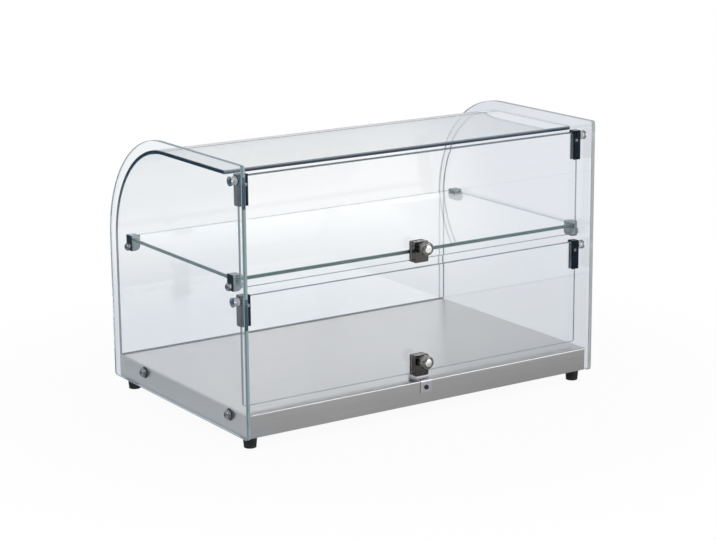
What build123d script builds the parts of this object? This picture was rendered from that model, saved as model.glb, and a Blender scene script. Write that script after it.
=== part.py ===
from build123d import *
import os

# Countertop display case with bent customer glass and two top-hung operator doors.
# Lengths are in millimetres. +X runs along the width, -Y faces the operator and the
# doors, +Y faces the customer, and +Z is up. The origin lies on the counter, in the
# middle of the overall outline.

# Overall sizes
CASE_WIDTH = 554.0            # over the outer faces of the side panels
CASE_HEIGHT = 366.0           # counter to the top of the side panels
PANEL_DEPTH = 361.0           # rear edge to front edge of a side panel
KNOB_OVERHANG = 2.0           # how far the door knobs stand out behind the panels

# Glass
SIDE_GLASS = 6.0
CASE_GLASS = 5.0              # bent glass, shelf and doors
ARRIS = 0.6                   # ground edge of every sheet of glass
PANEL_CORNER = 154.0          # radius of a panel's top front corner
PANEL_SMALL_CORNER = 4.0
GLASS_SEAL = 1.0              # bead between a side panel and the bent glass
SEAL_INSET = 0.5              # how far a bead stays inside the glass's thickness

# Base tray, folded from sheet
BASE_SHEET = 1.2
BASE_HEIGHT = 32.0
BASE_REAR_SET_BACK = 5.0      # base rear, in front of the panels' rear edges
BASE_FRONT_SET_BACK = 9.0     # base front, behind the panels' front edges
BASE_BEND = 2.4               # outside radius of the upper folds
BASE_LOWER_BEND = 1.4         # outside radius of the flange folds
SIDE_FLANGE = 20.0
END_FLANGE = 24.0
MITRE_SLIT = 0.8              # open joint between two flanges at a corner
PANEL_GASKET = 1.0            # between a side panel and the base

# Feet and their screws
FOOT_HEIGHT = 16.0
FOOT_RADIUS = 9.3
FOOT_TIP_RADIUS = 8.2
FOOT_COLLAR = 3.5
FOOT_CHAMFER = 1.0
FOOT_BORE_RADIUS = 4.6
FOOT_BORE_DEPTH = 7.0
FOOT_INSET = (10.0, 16.5)     # from the base's side, and from its front or rear
FOOT_SCREW_RADIUS = 2.1
FOOT_SCREW_LENGTH = 17.0
FOOT_SCREW_HEAD = (3.8, 2.5)  # radius and height
FOOT_NUT = (4.0, 3.2)         # radius over the corners and height

# Bent glass and shelf, measured from the panels' rear, top and front edges
BENT_INSET = 13.0
BENT_REAR = 46.5
SHELF_REAR = 32.0
SHELF_DEPTH = 288.0
SHELF_TOP = 220.0
SHELF_SIDE_GAP = 3.5
SHELF_CORNER = 4.0

# Doors
DOOR_INSET = 24.5             # middle of the door glass, from the panels' rear edges
DOOR_HALF_WIDTH = 264.0
DOOR_CORNER = 3.0
UPPER_PIVOT_Z = 343.5
LOWER_PIVOT_Z = 190.5
DOOR_ABOVE_PIVOT = 6.0
UPPER_DOOR_BOTTOM = 207.5
LOWER_DOOR_BOTTOM = 54.0

# Hinge clamps and pivots
LINER = 0.5
CLAMP_WALL = 3.0
CLAMP_GRIP = 8.0              # how far a hinge clamp reaches over the glass
CLAMP_WEB = 3.0
CLAMP_HEIGHT = 40.0
CLAMP_CAP = 2.0               # thickness over the door's top corner
CLAMP_ROUND = 1.4
CLAMP_EDGE = 0.5
SET_SCREW_RADIUS = 1.9
SET_SCREW_DROP = 5.0          # below the pivot axis
SET_SCREW_PROUD = 0.4
SET_SCREW_SOCKET = (1.15, 1.6)  # hexagon radius and depth
PIVOT_RADIUS = 2.95
PIVOT_BORE = 3.0
PIVOT_HEAD_RADIUS = 6.2
PIVOT_HEAD_RIM = 1.5
PIVOT_HEAD_HEIGHT = 3.3
BUSH_SLEEVE = 4.5
BUSH_FLANGE = 5.5
BUSH_SPLIT = 0.1
HOLE_EASE = 0.1
RUNNING_GAP = 0.3
THREAD_RADIUS = 2.5

# Door handles: a clamp over the bottom edge with a turned knob
HANDLE_WIDTH = 22.0
HANDLE_HEIGHT = 28.0
HANDLE_FOOT = 2.0             # metal below the door's bottom edge
HANDLE_INNER = 5.0            # inner face, from the middle of the glass
HANDLE_OUTER = 10.5           # outer face, from the middle of the glass
HANDLE_ROUND = 2.0
HANDLE_EDGE = 0.6
KNOB_RISE = 20.5              # knob centre above the clamp's underside
KNOB_RADIUS = 9.0
KNOB_NECK = 4.4
KNOB_COLLAR = (6.0, 1.4)      # radius and thickness
KNOB_HEAD = 9.0               # length of the head
KNOB_EDGE = 1.0
KNOB_DISH = 6.0               # radius at which the face turns into its dome

# Catch plate, stop and screw for the lower door
CATCH_SHEET = 1.0
CATCH_WIDTH = 18.0
CATCH_DROP = 17.0             # how far the plate reaches down the base's rear
STOP_PAD = 2.0
STOP_LIP_HEIGHT = 8.0
STOP_LIP_DEPTH = 3.0
STOP_ROUND = 0.8
STOP_SCREW_DROP = 10.0
STOP_SCREW_RADIUS = 1.6
STOP_SCREW_HEAD = (3.2, 1.8)
STOP_SCREW_LENGTH = 5.0

# Shelf clips, from the panels' rear edges
CLIP_PLACES = {"rear": 36.5, "front": 308.0}
CLIP_LENGTH = 16.0
CLIP_WEB = 2.5
CLIP_REACH = 13.0
CLIP_LOWER = 12.0             # depth of the jaw below the shelf
CLIP_UPPER = 3.0              # thickness of the jaw above the shelf
CLIP_NOSE = 7.0
CLIP_LIP = 1.2
CLIP_ROUND = 1.5
CLIP_LINER_MARGIN = 0.8
CLIP_BOLT_DROP = 7.0          # bolt axis below the shelf's underside
CLIP_BOLT_HEAD = (4.6, 3.2)   # radius and height
CLIP_BOLT_GRIP = 9.0
CLIP_WASHER_RADIUS = 5.6

# Bolts between the panels and the base, from the panels' rear edges
PANEL_BOLT_PLACES = (47.0, 276.0)
PANEL_BOLT_Z = 39.0
PANEL_BOLT_RADIUS = 3.0
PANEL_BOLT_HEAD = (5.2, 3.4)
PANEL_BOLT_GRIP = 9.0
PANEL_HOLE_GAP = 1.0
PANEL_NUT = (5.6, 4.8)        # radius over the corners and height
PANEL_WASHER_RADIUS = 6.5
PANEL_GASKET_RADIUS = 8.0
WASHER = 1.0
HEAD_RIM = 0.45               # share of a domed head's height that is its straight rim
OVERCUT = 1.0                 # how far a cutting tool passes the face it leaves by

# Places that follow from the sizes above
HALF_DEPTH = (PANEL_DEPTH + KNOB_OVERHANG) / 2
REAR = -HALF_DEPTH + KNOB_OVERHANG
FRONT = REAR + PANEL_DEPTH
OUTER_X = CASE_WIDTH / 2
INNER_X = OUTER_X - SIDE_GLASS
BASE_X = INNER_X - PANEL_GASKET
BASE_TOP = FOOT_HEIGHT + BASE_HEIGHT
BASE_REAR = REAR + BASE_REAR_SET_BACK
BASE_FRONT = FRONT - BASE_FRONT_SET_BACK
ARC_Y = FRONT - PANEL_CORNER
ARC_Z = CASE_HEIGHT - PANEL_CORNER
BENT_BOTTOM = BASE_TOP + GLASS_SEAL
DOOR_Y = REAR + DOOR_INSET
SHELF_BOTTOM = SHELF_TOP - CASE_GLASS
CLIP_BOLT_Z = SHELF_BOTTOM - CLIP_BOLT_DROP
HALF_GLASS = CASE_GLASS / 2
SLOT = HALF_GLASS + LINER
CLAMP_HALF = SLOT + CLAMP_WALL
CLAMP_INSIDE = DOOR_HALF_WIDTH - CLAMP_GRIP
WEB_INSIDE = DOOR_HALF_WIDTH + LINER / 2
WEB_OUTSIDE = WEB_INSIDE + CLAMP_WEB
HANDLE_BELOW = LINER + HANDLE_FOOT
SIDES = {"left": -1, "right": 1}
DOORS = {"upper": (UPPER_PIVOT_Z, UPPER_DOOR_BOTTOM), "lower": (LOWER_PIVOT_Z, LOWER_DOOR_BOTTOM)}


def rod_x(side, radius, start, end, y, z):
    """A cylinder along X on one side of the case, from |x| = start to |x| = end."""
    middle = side * (start + end) / 2
    return Pos(middle, y, z) * Rot(0, 90, 0) * Cylinder(radius, abs(end - start))


def rod_y(radius, start, end, x, z):
    """A cylinder along Y."""
    return Pos(x, (start + end) / 2, z) * Rot(90, 0, 0) * Cylinder(radius, end - start)


def ring_x(side, outer, bore, start, end, y, z):
    """A washer or sleeve along X."""
    hole = rod_x(side, bore, start - OVERCUT, end + OVERCUT, y, z)
    return rod_x(side, outer, start, end, y, z) - hole


def block(x_range, y_range, z_range):
    """A box between three pairs of limits."""
    size = [high - low for low, high in (x_range, y_range, z_range)]
    centre = [(high + low) / 2 for low, high in (x_range, y_range, z_range)]
    return Pos(*centre) * Box(*size)


def on_side(shape, side):
    """A right-hand shape, mirrored for the left side."""
    return mirror(shape, Plane.YZ) if side < 0 else shape


def dome(rim, radius, crown):
    """The arc of a dome centred on the X axis, from its rim to its crown."""
    rise = crown - rim
    sphere = (radius**2 + rise**2) / (2 * rise)
    middle = crown - sphere + (sphere**2 - (radius / 2) ** 2) ** 0.5
    ThreePointArc((rim, radius), (middle, radius / 2), (crown, 0))


def turned_x(side, half, y, z):
    """A turned piece on an X axis, from its half section, on one side of the case."""
    return Pos(0, y, z) * on_side(revolve(half.sketch, Axis.X), side)


def dome_bolt(side, seat, head, shank_radius, tip, y, z):
    """A domed bolt head outside |x| = seat with its shank running in to |x| = tip."""
    head_radius, head_height = head
    crown = seat + head_height
    rim = seat + head_height * HEAD_RIM
    with BuildSketch() as half:
        with BuildLine():
            Polyline(
                (tip, 0),
                (tip, shank_radius),
                (seat, shank_radius),
                (seat, head_radius),
                (rim, head_radius),
            )
            dome(rim, head_radius, crown)
            Line((crown, 0), (tip, 0))
        make_face()
    return turned_x(side, half, y, z)


def nut_prism(plane, corner_radius, height):
    """A hexagon nut's body on a plane."""
    return extrude(plane * RegularPolygon(corner_radius, 6), height)


def tray_envelope(inset, bend):
    """The outside of the tray, or its inside at one sheet's inset, rounded on five faces."""
    body = block(
        (-BASE_X + inset, BASE_X - inset),
        (BASE_REAR + inset, BASE_FRONT - inset),
        (FOOT_HEIGHT + inset, BASE_TOP - inset),
    )
    return fillet(body.edges().filter_by(Axis.Z) + body.edges().group_by(Axis.Z)[-1], bend)


def mitre_slit(side, end):
    """The open 45 degree joint between a side flange and an end flange."""
    corner_y = BASE_REAR if end < 0 else BASE_FRONT
    length = 2 * END_FLANGE
    start = 3 * BASE_SHEET
    place = Pos(side * (BASE_X - start), corner_y - end * start, FOOT_HEIGHT)
    angle = 45 if side * end < 0 else -45
    middle = Rot(0, 0, angle) * Pos(-side * length / 2, 0, 0)
    return place * middle * Box(length, MITRE_SLIT, 2 * BASE_SHEET + OVERCUT)


def base_tray():
    """The folded stainless base: a top with four skirts and mitred flanges below."""
    shell = tray_envelope(0, BASE_BEND)
    shell = fillet(shell.edges().group_by(Axis.Z)[0], BASE_LOWER_BEND)
    mouth = block(
        (-BASE_X + SIDE_FLANGE, BASE_X - SIDE_FLANGE),
        (BASE_REAR + END_FLANGE, BASE_FRONT - END_FLANGE),
        (0, FOOT_HEIGHT + BASE_HEIGHT / 2),
    )
    tray = shell - tray_envelope(BASE_SHEET, BASE_BEND - BASE_SHEET) - mouth
    bore = PANEL_BOLT_RADIUS + HOLE_EASE
    for side in SIDES.values():
        for place in PANEL_BOLT_PLACES:
            tray -= rod_x(side, bore, BASE_X - 2 * BASE_BEND, BASE_X + OVERCUT, REAR + place, PANEL_BOLT_Z)
        for end in (-1, 1):
            tray -= mitre_slit(side, end)
    for x, y in foot_places().values():
        tray -= Pos(x, y, FOOT_HEIGHT) * Cylinder(FOOT_SCREW_RADIUS, 4 * BASE_SHEET)
    return tray - catch_screw_bore()


def foot_places():
    """The centre of each foot, by name."""
    across, along = FOOT_INSET
    places = {}
    for name, side in SIDES.items():
        places["rear_" + name] = (side * (BASE_X - across), BASE_REAR + along)
        places["front_" + name] = (side * (BASE_X - across), BASE_FRONT - along)
    return places


def rubber_foot(x, y):
    """A tapered rubber foot with a deep counterbore for its screw."""
    with BuildSketch(Plane.XZ) as half:
        with BuildLine():
            Polyline(
                (FOOT_SCREW_RADIUS, FOOT_HEIGHT),
                (FOOT_RADIUS, FOOT_HEIGHT),
                (FOOT_RADIUS, FOOT_HEIGHT - FOOT_COLLAR),
                (FOOT_TIP_RADIUS, FOOT_CHAMFER),
                (FOOT_TIP_RADIUS - FOOT_CHAMFER, 0),
                (FOOT_BORE_RADIUS, 0),
                (FOOT_BORE_RADIUS, FOOT_BORE_DEPTH),
                (FOOT_SCREW_RADIUS, FOOT_BORE_DEPTH),
                close=True,
            )
        make_face()
    return Pos(x, y, 0) * revolve(half.sketch, Axis.Z)


def foot_fastening(x, y):
    """The pan-head screw in a foot, and the nut that holds it on the flange."""
    head_radius, head_height = FOOT_SCREW_HEAD
    head = Pos(x, y, FOOT_BORE_DEPTH - head_height / 2) * Cylinder(head_radius, head_height)
    head = fillet(head.edges().sort_by(Axis.Z)[0], head_height * 0.4)
    shank_middle = FOOT_BORE_DEPTH + FOOT_SCREW_LENGTH / 2
    shank = Pos(x, y, shank_middle) * Cylinder(FOOT_SCREW_RADIUS, FOOT_SCREW_LENGTH)
    corner_radius, height = FOOT_NUT
    seat = Plane.XY.offset(FOOT_HEIGHT + BASE_SHEET) * Pos(x, y)
    nut = nut_prism(seat, corner_radius, height) - seat * Cylinder(FOOT_SCREW_RADIUS, 4 * height)
    return head + shank, nut


def side_panel(side):
    """One upright pane with its large rounded top front corner and six bored holes."""
    inner = INNER_X if side > 0 else -OUTER_X
    with BuildPart() as pane:
        with BuildSketch(Plane.YZ.offset(inner)) as outline:
            with BuildLine():
                Polyline(
                    (ARC_Y, CASE_HEIGHT),
                    (REAR, CASE_HEIGHT),
                    (REAR, FOOT_HEIGHT),
                    (FRONT, FOOT_HEIGHT),
                    (FRONT, ARC_Z),
                )
                CenterArc((ARC_Y, ARC_Z), PANEL_CORNER, 0, 90)
            make_face()
            square = outline.vertices().group_by(Axis.Z)[0] + outline.vertices().sort_by(Axis.Y)[:2]
            fillet(set(square), PANEL_SMALL_CORNER)
        extrude(amount=SIDE_GLASS)
        chamfer(pane.faces().filter_by(Axis.X).edges(), ARRIS)
    holes = [(PANEL_BOLT_RADIUS + PANEL_HOLE_GAP, REAR + place, PANEL_BOLT_Z) for place in PANEL_BOLT_PLACES]
    holes += [(THREAD_RADIUS + PANEL_HOLE_GAP, REAR + place, CLIP_BOLT_Z) for place in CLIP_PLACES.values()]
    holes += [(BUSH_SLEEVE + HOLE_EASE, DOOR_Y, pivot_z) for pivot_z, _ in DOORS.values()]
    solid = pane.part
    for radius, y, z in holes:
        solid -= rod_x(side, radius, INNER_X - OVERCUT, OUTER_X + OVERCUT, y, z)
    return solid


def bent_section(plane, inset, thickness, rear, bottom):
    """The path of the bent glass: flat top, quarter round, upright front."""
    outer = PANEL_CORNER - inset
    inner = outer - thickness
    with BuildSketch(plane) as section:
        with BuildLine():
            Polyline(
                (ARC_Y, ARC_Z + outer),
                (rear, ARC_Z + outer),
                (rear, ARC_Z + inner),
                (ARC_Y, ARC_Z + inner),
            )
            CenterArc((ARC_Y, ARC_Z), inner, 0, 90)
            Polyline(
                (ARC_Y + inner, ARC_Z),
                (ARC_Y + inner, bottom),
                (ARC_Y + outer, bottom),
                (ARC_Y + outer, ARC_Z),
            )
            CenterArc((ARC_Y, ARC_Z), outer, 0, 90)
        make_face()
    return section.sketch


def curved_glass():
    """The single bent pane that makes the top and the customer front."""
    half = INNER_X - GLASS_SEAL
    section = bent_section(Plane.YZ.offset(-half), BENT_INSET, CASE_GLASS, REAR + BENT_REAR, BENT_BOTTOM)
    pane = extrude(section, 2 * half)
    return chamfer(pane.edges().filter_by(Axis.X).group_by(Axis.Y)[0], ARRIS)


def side_seal(side):
    """The clear bead that bonds one side of the bent glass to its panel."""
    start = INNER_X - GLASS_SEAL if side > 0 else -INNER_X
    inset = BENT_INSET + SEAL_INSET
    thickness = CASE_GLASS - 2 * SEAL_INSET
    rear = REAR + BENT_REAR + ARRIS
    return extrude(bent_section(Plane.YZ.offset(start), inset, thickness, rear, BENT_BOTTOM), GLASS_SEAL)


def front_seal():
    """The clear bead under the bent glass."""
    outer = FRONT - BENT_INSET
    half = INNER_X - GLASS_SEAL
    across = (outer - CASE_GLASS + SEAL_INSET, outer - SEAL_INSET)
    return block((-half, half), across, (BASE_TOP, BENT_BOTTOM))


def flat_glass(half_width, y_range, z_range, corner_axis, corner):
    """A flat pane with rounded corners and a ground arris."""
    pane = block((-half_width, half_width), y_range, z_range)
    pane = fillet(pane.edges().filter_by(corner_axis), corner)
    return chamfer(pane.faces().filter_by(corner_axis).edges(), ARRIS)


def shelf_glass():
    """The middle shelf, held by its corners."""
    rear = REAR + SHELF_REAR
    half = INNER_X - SHELF_SIDE_GAP
    return flat_glass(half, (rear, rear + SHELF_DEPTH), (SHELF_BOTTOM, SHELF_TOP), Axis.Z, SHELF_CORNER)


def shelf_clip(side, place):
    """A die-cast clip that grips one corner of the shelf, bolted through the panel."""
    low = SHELF_BOTTOM - LINER - CLIP_LOWER
    high = SHELF_TOP + LINER + CLIP_UPPER
    tip = INNER_X - CLIP_REACH
    body = block((tip, INNER_X), (0, CLIP_LENGTH), (low, high))
    throat = (SHELF_BOTTOM - LINER, SHELF_TOP + LINER)
    body -= block((tip - OVERCUT, INNER_X - CLIP_WEB), (-OVERCUT, CLIP_LENGTH + OVERCUT), throat)
    body = fillet(tip_edges(body)[0], CLIP_NOSE)
    body = fillet(tip_edges(body)[-1], CLIP_LIP)
    body = fillet(body.edges().filter_by(Axis.Z).group_by(Axis.X)[0], CLIP_ROUND)
    body = Pos(0, REAR + place - CLIP_LENGTH / 2, 0) * on_side(body, side)
    start = INNER_X - CLIP_BOLT_GRIP - OVERCUT
    return body - rod_x(side, THREAD_RADIUS, start, INNER_X + OVERCUT, REAR + place, CLIP_BOLT_Z)


def tip_edges(body):
    """The long edges at a clip's tip, from the lowest up."""
    return body.edges().filter_by(Axis.Y).group_by(Axis.X)[0].sort_by(Axis.Z)


def shelf_clip_liner(side, place):
    """The clear liner that keeps the clip's metal off the shelf."""
    wall = INNER_X - CLIP_WEB
    tip = INNER_X - CLIP_REACH + CLIP_LINER_MARGIN
    ends = (CLIP_LINER_MARGIN, CLIP_LENGTH - CLIP_LINER_MARGIN)
    liner = block((tip, wall), ends, (SHELF_BOTTOM - LINER, SHELF_TOP + LINER))
    liner -= block((tip - OVERCUT, wall - LINER), (0, CLIP_LENGTH), (SHELF_BOTTOM, SHELF_TOP))
    return Pos(0, REAR + place - CLIP_LENGTH / 2, 0) * on_side(liner, side)


def shelf_clip_bolt(side, place):
    """The domed bolt outside the panel that holds one clip."""
    tip = INNER_X - CLIP_BOLT_GRIP
    return dome_bolt(side, OUTER_X + WASHER, CLIP_BOLT_HEAD, THREAD_RADIUS, tip, REAR + place, CLIP_BOLT_Z)


def panel_bolt(side, place):
    """The domed bolt that holds a panel to the base."""
    seat = OUTER_X + WASHER
    tip = BASE_X - PANEL_BOLT_GRIP
    return dome_bolt(side, seat, PANEL_BOLT_HEAD, PANEL_BOLT_RADIUS, tip, REAR + place, PANEL_BOLT_Z)


def panel_nut(side, place):
    """The hexagon nut behind the base's skirt."""
    corner_radius, height = PANEL_NUT
    start = BASE_X - BASE_SHEET - height
    plane = Plane.YZ.offset(start) * Pos(REAR + place, PANEL_BOLT_Z)
    bore = rod_x(1, PANEL_BOLT_RADIUS, start - OVERCUT, start + height + OVERCUT, REAR + place, PANEL_BOLT_Z)
    return on_side(nut_prism(plane, corner_radius, height) - bore, side)


def pivot_bush(side, pivot_z):
    """Two flanged nylon half bushes, pushed into the panel from its two faces."""
    middle = (INNER_X + OUTER_X) / 2
    flange_start = WEB_OUTSIDE + RUNNING_GAP
    inner = ring_x(side, BUSH_FLANGE, PIVOT_BORE, flange_start, INNER_X, DOOR_Y, pivot_z)
    inner += ring_x(side, BUSH_SLEEVE, PIVOT_BORE, INNER_X, middle - BUSH_SPLIT, DOOR_Y, pivot_z)
    outer = ring_x(side, BUSH_SLEEVE, PIVOT_BORE, middle + BUSH_SPLIT, OUTER_X, DOOR_Y, pivot_z)
    outer += ring_x(side, BUSH_FLANGE, PIVOT_BORE, OUTER_X, OUTER_X + WASHER, DOOR_Y, pivot_z)
    return grouped([inner, outer])


def pivot_pin(side, pivot_z):
    """A shouldered pin with a domed head outside, threaded into the hinge clamp."""
    tip = WEB_INSIDE + CLAMP_EDGE
    seat = OUTER_X + WASHER + RUNNING_GAP
    rim = seat + PIVOT_HEAD_RIM
    crown = seat + PIVOT_HEAD_HEIGHT
    with BuildSketch() as half:
        with BuildLine():
            Polyline(
                (tip, 0),
                (tip, THREAD_RADIUS),
                (WEB_OUTSIDE, THREAD_RADIUS),
                (WEB_OUTSIDE, PIVOT_RADIUS),
                (seat, PIVOT_RADIUS),
                (seat, PIVOT_HEAD_RADIUS),
                (rim, PIVOT_HEAD_RADIUS),
            )
            dome(rim, PIVOT_HEAD_RADIUS, crown)
            Line((crown, 0), (tip, 0))
        make_face()
    return turned_x(side, half, DOOR_Y, pivot_z)


def hinge_clamp(side, pivot_z):
    """The cast corner clamp over a door's top corner, with the pivot's thread in its web."""
    door_top = pivot_z + DOOR_ABOVE_PIVOT
    top = door_top + CLAMP_CAP
    bottom = top - CLAMP_HEIGHT
    body = block((CLAMP_INSIDE, WEB_OUTSIDE), (-CLAMP_HALF, CLAMP_HALF), (bottom, top))
    body = fillet(body.edges().filter_by(Axis.Z), CLAMP_ROUND)
    body = chamfer(body.edges().group_by(Axis.Z)[-1] + body.edges().group_by(Axis.Z)[0], CLAMP_EDGE)
    body -= block((CLAMP_INSIDE - OVERCUT, WEB_INSIDE), (-SLOT, SLOT), (bottom - OVERCUT, door_top + LINER))
    body = Pos(0, DOOR_Y, 0) * on_side(body, side)
    body -= rod_x(side, THREAD_RADIUS, WEB_INSIDE - OVERCUT, WEB_OUTSIDE + OVERCUT, DOOR_Y, pivot_z)
    x, z = set_screw_place(side, pivot_z)
    return body - rod_y(SET_SCREW_RADIUS, DOOR_Y - CLAMP_HALF - OVERCUT, DOOR_Y - SLOT + OVERCUT, x, z)


def set_screw_place(side, pivot_z):
    """The axis of a hinge clamp's set screw, on the operator's side."""
    return side * (DOOR_HALF_WIDTH - CLAMP_GRIP / 2), pivot_z - SET_SCREW_DROP


def set_screw(side, pivot_z):
    """A cup-ended set screw with a hexagon socket."""
    x, z = set_screw_place(side, pivot_z)
    head = DOOR_Y - CLAMP_HALF - SET_SCREW_PROUD
    corner_radius, depth = SET_SCREW_SOCKET
    socket = nut_prism(Plane.XZ.offset(-head) * Pos(x, z), corner_radius, -depth)
    return rod_y(SET_SCREW_RADIUS, head, DOOR_Y - SLOT, x, z) - socket


def hinge_liner(side, pivot_z):
    """The thin clear liner between a hinge clamp and the glass."""
    inside = CLAMP_INSIDE + CLAMP_EDGE
    door_top = pivot_z + DOOR_ABOVE_PIVOT
    bottom = door_top + CLAMP_CAP - CLAMP_HEIGHT + CLAMP_EDGE
    liner = block((inside, WEB_INSIDE), (-SLOT, SLOT), (bottom, door_top + LINER))
    pane = (-HALF_GLASS, HALF_GLASS)
    liner -= block((inside - OVERCUT, DOOR_HALF_WIDTH), pane, (bottom - OVERCUT, door_top))
    return Pos(0, DOOR_Y, 0) * on_side(liner, side)


def door_glass(pivot_z, bottom):
    """A flap door's pane, its mid-plane on the pivot axis."""
    across = (DOOR_Y - HALF_GLASS, DOOR_Y + HALF_GLASS)
    return flat_glass(DOOR_HALF_WIDTH, across, (bottom, pivot_z + DOOR_ABOVE_PIVOT), Axis.Y, DOOR_CORNER)


def handle_clamp(door_bottom):
    """The cast clamp over the middle of a door's bottom edge, thick on the operator's side."""
    bottom = door_bottom - HANDLE_BELOW
    top = bottom + HANDLE_HEIGHT
    half = HANDLE_WIDTH / 2
    body = block((-half, half), (DOOR_Y - HANDLE_OUTER, DOOR_Y + HANDLE_INNER), (bottom, top))
    body = fillet(body.edges().filter_by(Axis.Y), HANDLE_ROUND)
    body = chamfer(body.faces().filter_by(Axis.Y).edges(), HANDLE_EDGE)
    slot = block(
        (-half - OVERCUT, half + OVERCUT),
        (DOOR_Y - SLOT, DOOR_Y + SLOT),
        (door_bottom - LINER, top + OVERCUT),
    )
    stud_start = DOOR_Y - HANDLE_OUTER - OVERCUT
    return body - slot - rod_y(THREAD_RADIUS, stud_start, DOOR_Y - SLOT + OVERCUT, 0, bottom + KNOB_RISE)


def handle_liner(door_bottom):
    """The clear liner between a handle clamp and the glass."""
    half = HANDLE_WIDTH / 2 - HANDLE_EDGE
    top = door_bottom - HANDLE_BELOW + HANDLE_HEIGHT - HANDLE_EDGE
    liner = block((-half, half), (DOOR_Y - SLOT, DOOR_Y + SLOT), (door_bottom - LINER, top))
    pane = (DOOR_Y - HALF_GLASS, DOOR_Y + HALF_GLASS)
    return liner - block((-half - OVERCUT, half + OVERCUT), pane, (door_bottom, top + OVERCUT))


def handle_knob(door_bottom):
    """The turned knob whose stud also clamps the handle to the glass."""
    collar_radius, collar = KNOB_COLLAR
    neck_start = HANDLE_OUTER + collar
    face = DOOR_Y + HALF_DEPTH
    head_start = face - KNOB_HEAD
    dish = face - KNOB_EDGE / 2
    with BuildSketch() as half:
        with BuildLine():
            Polyline(
                (SLOT, 0),
                (SLOT, THREAD_RADIUS),
                (HANDLE_OUTER, THREAD_RADIUS),
                (HANDLE_OUTER, collar_radius),
                (neck_start, collar_radius),
                (neck_start, KNOB_NECK),
            )
            TangentArc((neck_start, KNOB_NECK), (head_start, KNOB_RADIUS - KNOB_EDGE), tangent=(1, 0))
            Polyline(
                (head_start, KNOB_RADIUS - KNOB_EDGE),
                (head_start + KNOB_EDGE, KNOB_RADIUS),
                (face - 2 * KNOB_EDGE, KNOB_RADIUS),
                (dish, KNOB_DISH),
            )
            dome(dish, KNOB_DISH, face)
            Line((face, 0), (SLOT, 0))
        make_face()
    knob = revolve(half.sketch, Axis.X)
    return Pos(0, DOOR_Y, door_bottom - HANDLE_BELOW + KNOB_RISE) * Rot(0, 0, -90) * knob


def catch_plate():
    """The folded steel plate over the base's rear edge that carries the lower door's stop."""
    half = CATCH_WIDTH / 2
    low = BASE_TOP - CATCH_DROP
    inner_end = DOOR_Y + HANDLE_INNER + RUNNING_GAP + STOP_LIP_DEPTH
    plate = block((-half, half), (BASE_REAR - CATCH_SHEET, inner_end), (low, BASE_TOP + CATCH_SHEET))
    outer_corner = plate.edges().filter_by(Axis.X).group_by(Axis.Z)[-1].sort_by(Axis.Y)[0]
    plate = fillet(outer_corner, BASE_BEND + CATCH_SHEET)
    return plate - tray_envelope(0, BASE_BEND) - catch_screw_bore()


def catch_screw_bore():
    """The hole for the stop's screw through the plate and the base's rear skirt."""
    start = BASE_REAR - CATCH_SHEET - OVERCUT
    return rod_y(STOP_SCREW_RADIUS, start, BASE_REAR + STOP_SCREW_LENGTH, 0, BASE_TOP - STOP_SCREW_DROP)


def door_stop():
    """The nylon pad under the lower handle, with a lip that the handle comes to rest against."""
    half = CATCH_WIDTH / 2
    floor = BASE_TOP + CATCH_SHEET
    lip_start = DOOR_Y + HANDLE_INNER + RUNNING_GAP
    lip_end = lip_start + STOP_LIP_DEPTH
    pad = block((-half, half), (DOOR_Y - HANDLE_OUTER, lip_end), (floor, floor + STOP_PAD))
    lip = block((-half, half), (lip_start, lip_end), (floor, floor + STOP_LIP_HEIGHT))
    lip = fillet(lip.edges().filter_by(Axis.Y).group_by(Axis.Z)[-1], 2 * STOP_ROUND)
    return fillet((pad + lip).edges().filter_by(Axis.Z).group_by(Axis.Y)[0], STOP_ROUND)


def door_stop_screw():
    """The screw that holds the catch plate to the base's rear skirt."""
    head_radius, head_height = STOP_SCREW_HEAD
    seat = BASE_REAR - CATCH_SHEET
    z = BASE_TOP - STOP_SCREW_DROP
    head = rod_y(head_radius, seat - head_height, seat, 0, z)
    head = fillet(head.edges().sort_by(Axis.Y)[0], head_height * 0.6)
    return head + rod_y(STOP_SCREW_RADIUS, seat, seat + STOP_SCREW_LENGTH, 0, z)


def grouped(pieces):
    """Pieces kept as separate solids of one node."""
    return Compound([solid for piece in pieces for solid in piece.solids()])


def every_clip():
    """Each shelf clip's name, side and place."""
    clips = []
    for end, place in CLIP_PLACES.items():
        clips += [(end + "_" + name, side, place) for name, side in SIDES.items()]
    return clips


def clip_nodes():
    """The shelf clips with their liners, bolts and washers."""
    spots = [(side, place) for _, side, place in every_clip()]
    nodes = {"shelf_clip_" + name: shelf_clip(side, place) for name, side, place in every_clip()}
    nodes["shelf_clip_liners"] = grouped([shelf_clip_liner(side, place) for side, place in spots])
    nodes["shelf_clip_bolts"] = grouped([shelf_clip_bolt(side, place) for side, place in spots])
    nodes["shelf_clip_washers"] = grouped([
        ring_x(side, CLIP_WASHER_RADIUS, THREAD_RADIUS, OUTER_X, OUTER_X + WASHER, REAR + place, CLIP_BOLT_Z)
        for side, place in spots
    ])
    return nodes


def panel_fastening_nodes():
    """The bolts, nuts, washers and gaskets between the panels and the base."""
    spots = [(side, place) for side in SIDES.values() for place in PANEL_BOLT_PLACES]
    bore = PANEL_BOLT_RADIUS
    nodes = {"panel_bolts": grouped([panel_bolt(side, place) for side, place in spots])}
    nodes["panel_nuts"] = grouped([panel_nut(side, place) for side, place in spots])
    nodes["panel_washers"] = grouped([
        ring_x(side, PANEL_WASHER_RADIUS, bore, OUTER_X, OUTER_X + WASHER, REAR + place, PANEL_BOLT_Z)
        for side, place in spots
    ])
    nodes["panel_gaskets"] = grouped([
        ring_x(side, PANEL_GASKET_RADIUS, bore + HOLE_EASE, BASE_X, INNER_X, REAR + place, PANEL_BOLT_Z)
        for side, place in spots
    ])
    return nodes


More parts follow.
